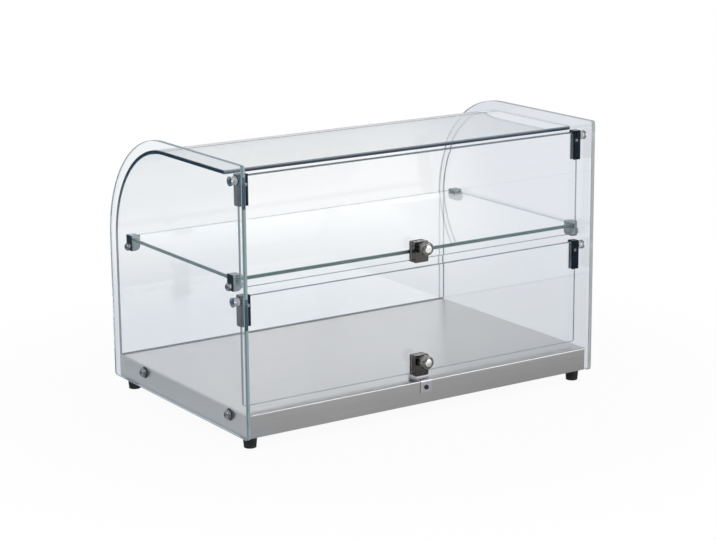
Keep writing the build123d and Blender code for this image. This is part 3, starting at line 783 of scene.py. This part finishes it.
class TurnedTree:
    """A geometry tree that turns an outline on its axis and sets copies of it in place."""

    SIZES = {
        Measure.COUNT: ("Rows", "Segments", "Flutes", "Count", "Seed"),
        Measure.LENGTH: ("Flute Depth", "Flute Start", "Flute End", "Socket Radius", "Socket Depth",
                         "Socket Top", "Half Width", "Rear", "Front", "Height"),
        Measure.ANGLE: ("Tilt X", "Tilt Y"),
    }
    MERGE_WITHIN = 0.000002
    SHARP_ANGLE = 32.0
    FULL_TURN = 2.0 * math.pi

    def __init__(self) -> None:
        """Builds the tree once."""
        self.tree = bpy.data.node_groups.new("turned_parts", "GeometryNodeTree")
        self._add_socket("Geometry", "NodeSocketGeometry", "OUTPUT")
        self._add_socket("Geometry", "NodeSocketGeometry")
        self.inputs = {name: self._add_socket(name, measure.value[0])
                       for measure, names in self.SIZES.items() for name in names}
        self.inputs["Material"] = self._add_socket("Material", "NodeSocketMaterial")
        graph = Graph(self.tree)
        given = graph.node("NodeGroupInput")
        part = self._recessed(graph, given, self._turned(graph, given))
        copies = self._copies(graph, given, part)
        real = graph.node("GeometryNodeRealizeInstances", None, {"Geometry": copies})[0]
        done = graph.node("GeometryNodeSetMaterial", None, {
            "Geometry": real, "Material": given["Material"]})[0]
        graph.node("NodeGroupOutput", None, {"Geometry": done})

    def _add_socket(self, name: str, kind: str, side: str = "INPUT") -> str:
        """Gives the group one more socket, whose identifier comes back."""
        socket = self.tree.interface.new_socket(name=name, in_out=side, socket_type=kind)
        return socket.identifier

    @staticmethod
    def _turned(graph: Graph, given: Placed) -> Wire:
        """Wraps a grid round the axis, with flutes where they are asked for.

        Args:
            graph: The tree's nodes.
            given: The group's inputs.

        Returns:
            The closed turned solid.
        """
        rows, segments = given["Rows"], given["Segments"]
        grid = graph.node("GeometryNodeMeshGrid", None, {
            "Size X": 1.0, "Size Y": 1.0, "Vertices X": segments + 1.0, "Vertices Y": rows})["Mesh"]
        index = graph.node("GeometryNodeInputIndex")[0]
        turn = graph.math("FLOOR", index / rows) * TurnedTree.FULL_TURN / segments
        point = graph.parts(graph.node("GeometryNodeSampleIndex", {"data_type": "FLOAT_VECTOR"}, {
            "Geometry": given["Geometry"],
            "Value": graph.node("GeometryNodeInputPosition")[0],
            "Index": graph.math("MODULO", index, rows),
        })["Value"])
        along, radius = point["Z"], point["X"]
        fluted = graph.math("GREATER_THAN", along, given["Flute Start"])
        fluted = fluted * graph.math("LESS_THAN", along, given["Flute End"])
        wave = 0.5 + graph.math("COSINE", turn * given["Flutes"]) * 0.5
        radius = radius - wave * given["Flute Depth"] * fluted
        x, y = (radius * graph.math(operation, turn) for operation in ("COSINE", "SINE"))
        moved = graph.node("GeometryNodeSetPosition", None, {
            "Geometry": grid, "Position": graph.point(x, y, along)})[0]
        return graph.node("GeometryNodeMergeByDistance", None, {
            "Geometry": moved, "Distance": TurnedTree.MERGE_WITHIN})[0]

    @staticmethod
    def _recessed(graph: Graph, given: Placed, part: Wire) -> Wire:
        """Cuts a hexagon socket into the top where one is asked for.

        Args:
            graph: The tree's nodes.
            given: The group's inputs.
            part: The turned solid.

        Returns:
            The solid with its socket, or as it was.
        """
        radius, depth = given["Socket Radius"], given["Socket Depth"]
        tool = graph.node("GeometryNodeMeshCylinder", None, {
            "Vertices": 6, "Radius": radius, "Depth": depth * 2.0})["Mesh"]
        tool = graph.node("GeometryNodeTransform", None, {
            "Geometry": tool, "Translation": graph.point(z=given["Socket Top"])})[0]
        exact = {"operation": "DIFFERENCE", "solver": "EXACT"}
        cut = graph.node("GeometryNodeMeshBoolean", exact, {"Mesh 1": part, "Mesh 2": tool})["Mesh"]
        above = {"data_type": "FLOAT", "operation": "GREATER_THAN"}
        wanted = graph.node("FunctionNodeCompare", above, {"A": radius, "B": 0.0})["Result"]
        return graph.node("GeometryNodeSwitch", {"input_type": "GEOMETRY"}, {
            "Switch": wanted, "False": part, "True": cut})["Output"]

    @staticmethod
    def _copies(graph: Graph, given: Placed, part: Wire) -> Wire:
        """Sets copies at the two sides and at the rear and front places.

        Args:
            graph: The tree's nodes.
            given: The group's inputs.
            part: The solid that is repeated.

        Returns:
            The copies, each rolled a little differently on its own axis.
        """
        index = graph.node("GeometryNodeInputIndex")[0]
        side = graph.math("MODULO", index, 2.0) * 2.0 - 1.0
        further = graph.math("FLOOR", index / 2.0)
        place = graph.point(
            side * given["Half Width"],
            given["Rear"] + further * (given["Front"] - given["Rear"]),
            given["Height"],
        )
        points = graph.node("GeometryNodePoints", None, {
            "Count": given["Count"], "Position": place})[0]
        tilt = graph.point(given["Tilt X"], side * given["Tilt Y"])
        copies = graph.node("GeometryNodeInstanceOnPoints", None, {
            "Points": points,
            "Instance": part,
            "Rotation": graph.node("FunctionNodeEulerToRotation", None, {0: tilt})[0],
        })[0]
        roll = graph.node("FunctionNodeRandomValue", {"data_type": "FLOAT"}, {
            "Min_001": 0.0, "Max_001": TurnedTree.FULL_TURN, "Seed": given["Seed"]})["Value_001"]
        return graph.node("GeometryNodeRotateInstances", None, {
            "Instances": copies, "Rotation": graph.point(z=roll), "Local Space": True})[0]

    def make(self, name: str, shape: TurnedProfile, placing: Placing,
             finish: Finish) -> bpy.types.Object:
        """Turns one kind of part into a plain mesh.

        Args:
            name: The piece's name.
            shape: The outline and its details.
            placing: Where its copies stand.
            finish: Its material.

        Returns:
            The piece, with its place in its mesh.
        """
        outline = bpy.data.meshes.new(name + "_outline")
        outline.from_pydata([(r * MM, 0.0, a * MM) for a, r in shape.outline], [], [])
        holder = bpy.data.objects.new(name + "_outline", outline)
        bpy.context.scene.collection.objects.link(holder)
        modifier = holder.modifiers.new("turned", "NODES")
        modifier.node_group = self.tree
        values = {**vars(shape), **vars(placing), "rows": len(shape.outline)}
        for measure, names in self.SIZES.items():
            for size in names:
                value = values[size.lower().replace(" ", "_")]
                modifier[self.inputs[size]] = value * measure.value[1]
        modifier[self.inputs["Material"]] = finish.material()
        evaluated = bpy.context.evaluated_depsgraph_get()
        mesh = bpy.data.meshes.new_from_object(holder.evaluated_get(evaluated), depsgraph=evaluated)
        bpy.data.objects.remove(holder)
        mesh.name = name
        mesh.shade_smooth()
        mesh.set_sharp_from_angle(angle=math.radians(self.SHARP_ANGLE))
        piece = bpy.data.objects.new(name, mesh)
        bpy.context.scene.collection.objects.link(piece)
        LOG.info("%s: %d faces", name, len(mesh.polygons))
        return piece


def arc(centre: Pair, size: Pair, start: float, end: float, steps: int) -> list[Pair]:
    """Points on an ellipse for an outline, from an angle in degrees to another; 0 is along."""
    turns = [math.radians(start + (end - start) * i / steps) for i in range(steps + 1)]
    return [(centre[0] + size[0] * math.cos(t), centre[1] + size[1] * math.sin(t)) for t in turns]


CLEAR_SIDE = SideGlass("side_glass_clear", Axis.X, ground=0.75,
                       edge_tone=(0.57, 0.60, 0.615), arris_tone=(0.50, 0.56, 0.58))
# the bent pane's dark navy edge_tone is painted shade along its top and rear
CLEAR_BENT = BentGlass("bent_glass_clear", Axis.X, ground=0.92,
                       edge_tone=(0.014, 0.030, 0.056), arris_tone=(0.10, 0.15, 0.20))
CLEAR_SHELF = SheetGlass("shelf_glass_clear", Axis.Z, ground=0.85,
                         edge_tone=(0.045, 0.115, 0.110), arris_tone=(0.22, 0.44, 0.42))
CLEAR_DOOR = DoorGlass("door_glass_clear", Axis.Y, ground=0.8,
                       edge_tone=(0.22, 0.28, 0.32), arris_tone=(0.34, 0.42, 0.46))
STEEL = BrushedSteel("brushed_stainless")
CHROME = PlatedMetal("bright_chrome", (0.42, 0.43, 0.44), 0.10, 0.06)
DARK_CHROME = PlatedMetal("dark_chrome", (0.10, 0.095, 0.090), 0.09, 0.08)
KNOB_CHROME = KnobChrome("turned_dark_chrome", (0.24, 0.23, 0.22), 0.07, 0.05)
CLAMP_METAL = PlatedMetal("black_clamp_metal", (0.015, 0.024, 0.034), 0.14, 0.08)
CLIP_METAL = PlatedMetal("satin_nickel", (0.21, 0.245, 0.255), 0.22, 0.12)
WASHER_METAL = PlatedMetal("bright_washer_steel", (0.42, 0.43, 0.44), 0.22, 0.12)
SCREW_METAL = PlatedMetal("bright_screw_steel", (0.45, 0.45, 0.46), 0.18, 0.12)
CATCH_METAL = PlatedMetal("pale_catch_plate", (0.62, 0.61, 0.66), 0.22, 0.10)
STOP_SCREW_METAL = PlatedMetal("black_stop_screw", (0.05, 0.05, 0.055), 0.25, 0.12)
ZINC = PlatedMetal("dull_zinc", (0.52, 0.53, 0.55), 0.38, 0.2)
RUBBER = MouldedRubber("black_foot_rubber")
GREY_NYLON = MouldedPlastic("grey_nylon", (0.45, 0.47, 0.49), 0.4)
WHITE_NYLON = MouldedPlastic("white_nylon", (0.90, 0.90, 0.89), 0.4)
LINER = MouldedPlastic("clear_soft_liner", (0.86, 0.88, 0.89), 0.25, 0.8)
# the bead's navy colour is painted shade along its top
SILICONE = SiliconeBead("clear_silicone_bead", (0.06, 0.09, 0.13), 0.25, 0.7)
FLOOR = PaleFloor("pale_floor")


@dataclass(frozen=True)
class Surroundings:
    """White surroundings behind the object and dim ones on the operator's side."""

    ahead: Pair = (0.53, 0.81)
    rightwards: Pair = (0.836, -0.549)
    dim: Colour = (0.085, 0.085, 0.09)
    wall_left: Colour = (0.62, 0.64, 0.665)
    wall_right: Colour = (0.47, 0.50, 0.545)
    ceiling: Colour = (0.42, 0.43, 0.45)
    even: Colour = (0.45, 0.45, 0.46)
    through_left: Colour = (0.95, 0.96, 0.975)
    through_right: Colour = (0.78, 0.81, 0.855)
    through_ceiling: Colour = (0.50, 0.51, 0.53)

    def build(self) -> None:
        """Colours the world by direction, apart for metal, glass, matt surfaces and the camera."""
        world = bpy.data.worlds.new("studio")
        bpy.context.scene.world = world
        world.use_nodes = True
        graph = Graph(world.node_tree)
        parts = graph.parts(graph.node("ShaderNodeTexCoord")["Generated"])
        bright = graph.between(graph.along(parts, self.ahead), -0.25, 0.35)
        right = graph.between(graph.along(parts, self.rightwards), 0.02, 0.11)
        overhead = graph.between(parts["Z"], 0.45, 0.75)
        room = graph.mix(bright, self.dim, graph.mix(right, self.wall_left, self.wall_right))
        room = graph.mix(overhead, room, self.ceiling)
        room = graph.mix(graph.path["Is Diffuse Ray"], room, self.even)
        through = graph.mix(right, self.through_left, self.through_right)
        through = graph.mix(overhead, through, self.through_ceiling)
        colour = graph.mix(graph.path["Is Transmission Ray"], room, through)
        colour = graph.mix(graph.path["Is Camera Ray"], colour, WHITE)
        light = graph.node("ShaderNodeBackground", None, {"Color": colour, "Strength": 1.0})
        graph.node("ShaderNodeOutputWorld", None, {"Surface": light[0]})


@dataclass(frozen=True)
class Lamp:
    """One square soft lamp, with its side in metres and its power in watts."""

    name: str
    place: Triple
    size: float
    power: float
    aim: Triple = (0.0, 0.0, 0.15)

    def hang(self) -> None:
        """Hangs the lamp and turns it to the object."""
        light = bpy.data.lights.new(self.name, "AREA")
        light.shape, light.size, light.energy = "SQUARE", self.size, self.power
        lamp = bpy.data.objects.new(self.name, light)
        lamp.location = self.place
        away = Vector(self.place) - Vector(self.aim)
        lamp.rotation_euler = away.to_track_quat("Z", "Y").to_euler()
        bpy.context.scene.collection.objects.link(lamp)


@dataclass
class Studio:
    """The camera at the photograph's angle, the floor and the light."""

    target: Triple = (0.0, 8.5, 185.0)
    azimuth: float = -33.25
    elevation: float = 13.68
    roll: float = -0.52
    distance: float = 2877.0
    offset: Pair = (12.3, -24.0)
    lens: float = 105.34
    sensor: float = 36.0
    reach: Pair = (0.05, 100.0)
    floor_half: float = 30.0
    floor_height: float = -0.0002
    lamps: tuple[Lamp, ...] = (
        Lamp("key", (-1.6, -1.2, 2.4), 2.6, 34.0),
        Lamp("fill", (1.6, -2.5, 0.75), 1.5, 22.0),
        Lamp("top", (0.6, 0.9, 2.9), 3.4, 20.0),
    )

    def build(self) -> None:
        """Sets up everything that isn't part of the object."""
        self._camera()
        self._floor()
        Surroundings().build()
        for lamp in self.lamps:
            lamp.hang()
        bpy.context.scene.view_settings.view_transform = "Standard"

    def _camera(self) -> None:
        """Places the camera by its direction, distance and roll."""
        around, above, roll = map(math.radians, (self.azimuth, self.elevation, self.roll))
        back = Vector((
            math.sin(around) * math.cos(above),
            -math.cos(around) * math.cos(above),
            math.sin(above),
        ))
        level = Vector((0.0, 0.0, 1.0)).cross(back).normalized()
        upright = back.cross(level)
        right = level * math.cos(roll) + upright * math.sin(roll)
        up = upright * math.cos(roll) - level * math.sin(roll)
        aside, raised = self.offset
        centre = Vector(self.target) + right * aside + up * raised + back * self.distance
        lens = bpy.data.cameras.new("camera")
        lens.lens, lens.sensor_width, lens.sensor_fit = self.lens, self.sensor, "HORIZONTAL"
        lens.clip_start, lens.clip_end = self.reach
        camera = bpy.data.objects.new("camera", lens)
        frame = Matrix((right, up, back)).transposed().to_4x4()
        camera.matrix_world = Matrix.Translation(centre * MM) @ frame
        bpy.context.scene.collection.objects.link(camera)
        bpy.context.scene.camera = camera

    def _floor(self) -> None:
        """Lays a large floor under the feet."""
        mesh = bpy.data.meshes.new("floor")
        signs = ((-1, -1), (1, -1), (1, 1), (-1, 1))
        far = self.floor_half
        points = [(x * far, y * far, self.floor_height) for x, y in signs]
        mesh.from_pydata(points, [], [(0, 1, 2, 3)])
        mesh.materials.append(FLOOR.material())
        floor = bpy.data.objects.new("floor", mesh)
        bpy.context.scene.collection.objects.link(floor)


@dataclass
class GlassCase:
    """The side panels, the bent pane, the shelf and the beads that bond them."""

    def dress(self) -> None:
        """Gives each sheet of glass and each bead its finish."""
        CLEAR_SIDE.dress(*(f"{side}_side_panel" for side in SIDES))
        CLEAR_BENT.dress("curved_glass")
        CLEAR_SHELF.dress("shelf_glass")
        SILICONE.dress("front_glass_seal", *(f"{side}_glass_seal" for side in SIDES))


@dataclass
class Base:
    """The folded stainless base, its feet and its fastenings."""

    half_width: float = 260.0
    rear: float = -158.0
    front: float = 156.0
    foot_height: float = 16.0
    foot_radius: float = 9.3
    tip_radius: float = 8.2
    tip_round: float = 1.0
    collar: float = 3.5
    collar_round: float = 0.5
    bore_radius: float = 4.6
    bore_depth: float = 7.0
    screw_radius: float = 2.1
    rings: int = 4
    ring_pitch: float = 2.7
    ring_depth: float = 0.7

    def foot_outline(self) -> TurnedProfile:
        """The foot's section: a collar, a ringed tapering wall and a deep counterbore.

        Returns:
            The outline, closed round its bore.
        """
        height, edge, tip = self.foot_height, self.collar_round, self.tip_round
        below = height - self.collar
        taper = (self.foot_radius - self.tip_radius) / (below - tip)
        points = [(height, self.screw_radius), (height, self.foot_radius - edge)]
        points += arc((height - edge, self.foot_radius - edge), (edge, edge), 0.0, 90.0, 3)[1:]
        points += [(below, self.foot_radius)]
        for ring in range(self.rings):
            top = below - 0.6 - ring * self.ring_pitch
            wall = self.foot_radius - 0.15 - taper * (below - top)
            groove = wall - self.ring_depth
            points += [(top, wall), (top - 1.5, wall - 0.1)]
            points += [(top - 1.8, groove), (top - 2.4, groove)]
        points += [(tip + 0.2, self.tip_radius)]
        points += arc((tip, self.tip_radius - tip), (tip, tip), 90.0, 180.0, 4)
        points += [(0.0, self.bore_radius), (self.bore_depth, self.bore_radius)]
        points += [(self.bore_depth, self.screw_radius), (height, self.screw_radius)]
        return TurnedProfile(tuple(points), segments=56)

    def build(self, turner: TurnedTree) -> None:
        """Dresses the base and makes its ringed feet.

        Args:
            turner: The tree that turns outlines.
        """
        STEEL.dress("base_tray")
        CATCH_METAL.dress("lower_door_catch_plate")
        placing = Placing(self.half_width, self.rear, self.front, height=0.0)
        feet = turner.make("ringed_rubber_feet", self.foot_outline(), placing, RUBBER)
        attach(feet, "cabinet")
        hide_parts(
            "foot_rear_left", "foot_rear_right", "foot_front_left", "foot_front_right")
        ZINC.dress("foot_screws", "foot_nuts", "panel_nuts")
        RUBBER.dress("panel_gaskets")
        WHITE_NYLON.dress("lower_door_stop")
        STOP_SCREW_METAL.dress("lower_door_stop_screw")


@dataclass(frozen=True)
class SocketScrews:
    """Four alike button-headed screws through the side panels, in millimetres."""

    name: str
    node: str
    head_radius: float
    head_height: float
    shank_radius: float
    shank_length: float
    rear: float
    front: float
    height: float
    socket: float
    seed: int
    seat: float = 278.0
    tip_bevel: float = 0.4
    rim_bevel: float = 0.25

    def outline(self) -> TurnedProfile:
        """A screw's section, with its seat at 0 and its head outwards.

        Returns:
            The outline with its hexagon socket.
        """
        radius, height, shank, tip = (
            self.head_radius, self.head_height, self.shank_radius, -self.shank_length)
        rim = height * 0.42
        points = [(tip, 0.0), (tip, shank - self.tip_bevel), (self.tip_bevel + tip, shank)]
        points += [(0.0, shank), (0.0, radius - self.rim_bevel), (self.rim_bevel, radius)]
        points += [(rim, radius), *arc((rim, 0.0), (height - rim, radius), 90.0, 0.0, 12)[1:]]
        return TurnedProfile(tuple(points), 40, socket_radius=self.socket,
                             socket_depth=height * 0.55, socket_top=height)

    def build(self, turner: TurnedTree) -> None:
        """Makes the four screws in place of their plain node.

        Args:
            turner: The tree that turns outlines.
        """
        placing = Placing(
            self.seat, self.rear, self.front, self.height, tilt_y=90.0, seed=self.seed)
        screws = turner.make(self.name, self.outline(), placing, SCREW_METAL)
        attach(screws, "cabinet")
        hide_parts(self.node)


@dataclass
class SideFastenings:
    """The domed socket screws that hold the panels and the shelf clips, with their washers."""

    screws: tuple[SocketScrews, ...] = (
        SocketScrews("panel_socket_screws", "panel_bolts", head_radius=5.2, head_height=3.4,
                     shank_radius=3.0, shank_length=17.0, rear=-132.5, front=96.5, height=39.0,
                     socket=1.9, seed=3),
        SocketScrews("clip_socket_screws", "shelf_clip_bolts", head_radius=4.6, head_height=3.2,
                     shank_radius=2.5, shank_length=16.0, rear=-143.0, front=128.5, height=208.0,
                     socket=1.7, seed=8),
    )

    def build(self, turner: TurnedTree) -> None:
        """Makes both sets of screws and dresses the washers.

        Args:
            turner: The tree that turns outlines.
        """
        for screws in self.screws:
            screws.build(turner)
        WASHER_METAL.dress("panel_washers", "shelf_clip_washers")


@dataclass
class ShelfClips:
    """The four nickel clips that carry the shelf."""

    places: tuple[str, str] = ("rear", "front")

    def dress(self) -> None:
        """Gives the clips and their liners their finishes."""
        for place in self.places:
            CLIP_METAL.dress(*(f"shelf_clip_{place}_{side}" for side in SIDES))
        LINER.dress("shelf_clip_liners")


@dataclass
class FlapDoor:
    """One top-hung glass door with its pivots, clamps and turned knob, in millimetres."""

    name: str
    bottom: float
    door_y: float = -155.0
    face_y: float = -181.5
    knob_rise: float = 18.0
    radius: float = 9.0
    flutes: int = 24
    flute_depth: float = 0.45
    dish: Pair = (0.9, 5.3)

    def knob_outline(self) -> TurnedProfile:
        """The knob's section from its stud to its dished face, measured from the glass.

        Returns:
            The outline with a fluted rim.
        """
        rim, face = self.radius, self.door_y - self.face_y
        stud = [(3.0, 0.0), (3.0, 2.5), (10.5, 2.5)]
        collar = [(10.5, 5.6), (10.8, 6.0), (11.6, 6.0), (11.9, 5.7)]
        neck = [(11.9, 4.4), (13.6, 4.5), (15.2, 5.2), (16.6, 6.6), (17.5, 8.0), (18.2, 8.7)]
        grip = [(along, rim) for along in (18.8, 20.0, 21.2, 22.4, 23.6)]
        lip = [(24.4, 8.9), (25.2, 8.4), (25.7, 7.6), (25.8, 6.6), (25.3, 6.1), (25.3, 5.5)]
        dome = arc((face - self.dish[0], 0.0), self.dish, 90.0, 0.0, 8)
        return TurnedProfile(tuple(stud + collar + neck + grip + lip + dome), 96, self.flutes,
                             self.flute_depth, flute_start=18.5, flute_end=24.0)

    def build(self, turner: TurnedTree) -> None:
        """Dresses the door's solids and makes its knob.

        Args:
            turner: The tree that turns outlines.
        """
        door = self.name
        CLEAR_DOOR.dress(f"{door}_door_glass")
        for side in SIDES:
            CLAMP_METAL.dress(f"{door}_{side}_hinge_clamp")
            CHROME.dress(f"{door}_{side}_pivot_pin")
            GREY_NYLON.dress(f"{door}_{side}_pivot_bush")
        DARK_CHROME.dress(f"{door}_handle_clamp")
        SCREW_METAL.dress(f"{door}_hinge_set_screws")
        LINER.dress(f"{door}_hinge_liners", f"{door}_handle_liner")
        height = self.bottom + self.knob_rise
        placing = Placing(0.0, self.door_y, self.door_y, height, tilt_x=90.0, count=1, seed=5)
        knob = turner.make(f"{door}_fluted_knob", self.knob_outline(), placing, KNOB_CHROME)
        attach(knob, f"{door}_door")
        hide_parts(f"{door}_handle_knob")


def main() -> None:
    """Loads the solids and builds every piece in order."""
    logging.basicConfig(level=logging.INFO, format="%(name)s %(message)s")
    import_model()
    Studio().build()
    turner = TurnedTree()
    GlassCase().dress()
    Base().build(turner)
    SideFastenings().build(turner)
    ShelfClips().dress()
    for door, bottom in (("upper", 207.5), ("lower", 54.0)):
        FlapDoor(door, bottom).build(turner)


if __name__ == "__main__":
    main()
